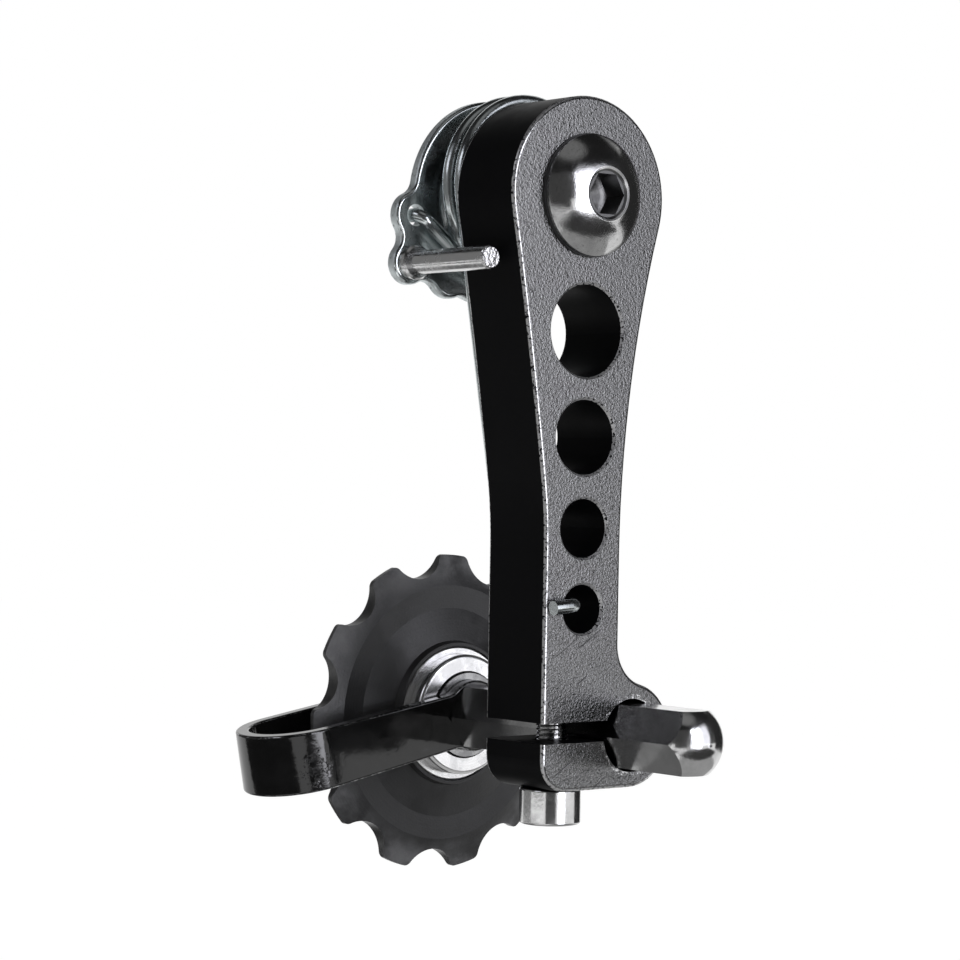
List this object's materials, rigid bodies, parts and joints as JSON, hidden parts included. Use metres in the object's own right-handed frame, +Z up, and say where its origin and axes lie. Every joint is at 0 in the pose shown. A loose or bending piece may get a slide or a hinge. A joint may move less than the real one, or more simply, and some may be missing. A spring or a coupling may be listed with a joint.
{
  "type": "bicycle chain tensioner",
  "caption": "Sprung arm with round lightening holes that hangs from a frame's hanger bolt and carries a toothed chain pulley in a U-shaped guide on a sliding hexagonal axle.",
  "frame": {"origin": "on the pivot axis, in the face of the stop plate that seats on the frame's hanger", "axes": "+Z up along the hanging arm, +Y to the back along the pivot bolt into the hanger, +X to the right seen from the bolt's head"},
  "size_m": [0.0534, 0.0655, 0.1031],
  "materials": {
    "coat": "black textured coat",
    "polished_steel": "polished plating",
    "zinc": "zinc plating",
    "spring_wire": "plated spring wire",
    "bush_steel": "turned steel",
    "liner_plastic": "black nylon",
    "guide_enamel": "gloss black enamel",
    "pulley_plastic": "satin black moulding",
    "bearing_steel": "ground bearing steel",
    "cage_steel": "pressed steel"
  },
  "bodies": {
    "mount": {"stop_plate": "zinc", "stop_pin": "zinc", "pivot_bolt": "polished_steel", "pivot_bush": "bush_steel", "torsion_spring": "spring_wire"},
    "arm": {"swing_arm": "coat", "arm_liner_front": "liner_plastic", "arm_liner_rear": "liner_plastic", "pinch_bolt": "polished_steel"},
    "axle": {"hex_axle": "polished_steel", "axle_bolt": "polished_steel", "axle_washer": "zinc", "spacer_front": "zinc", "spacer_rear": "zinc", "bearing_inner_ring": "bearing_steel"},
    "guide": {"chain_guide": "guide_enamel"},
    "pulley": {"pulley_wheel": "pulley_plastic", "bearing_outer_ring": "bearing_steel", "bearing_balls": "bearing_steel", "bearing_cage": "cage_steel", "bearing_shield_front": "bearing_steel", "bearing_shield_rear": "bearing_steel"}
  },
  "joints": [
    {"name": "arm_swing", "type": "hinge", "parent": "mount", "child": "arm", "pos_m": [0, 0, 0], "axis": [0, -1, 0], "range_deg": [-7, 80], "stiffness_Nm_per_rad": 0.5, "deforming": ["torsion_spring"]},
    {"name": "chainline_slide", "type": "slide", "parent": "arm", "child": "axle", "axis": [0, 1, 0], "range_m": [-0.019, 0.012]},
    {"name": "guide_turn", "type": "hinge", "parent": "axle", "child": "guide", "pos_m": [0.00855, 0.0191, -0.06785], "axis": [0, -1, 0], "range_deg": [-25, 60]},
    {"name": "pulley_spin", "type": "hinge", "parent": "axle", "child": "pulley", "pos_m": [0.00855, 0.0191, -0.06785], "axis": [0, -1, 0], "continuous": true}
  ]
}
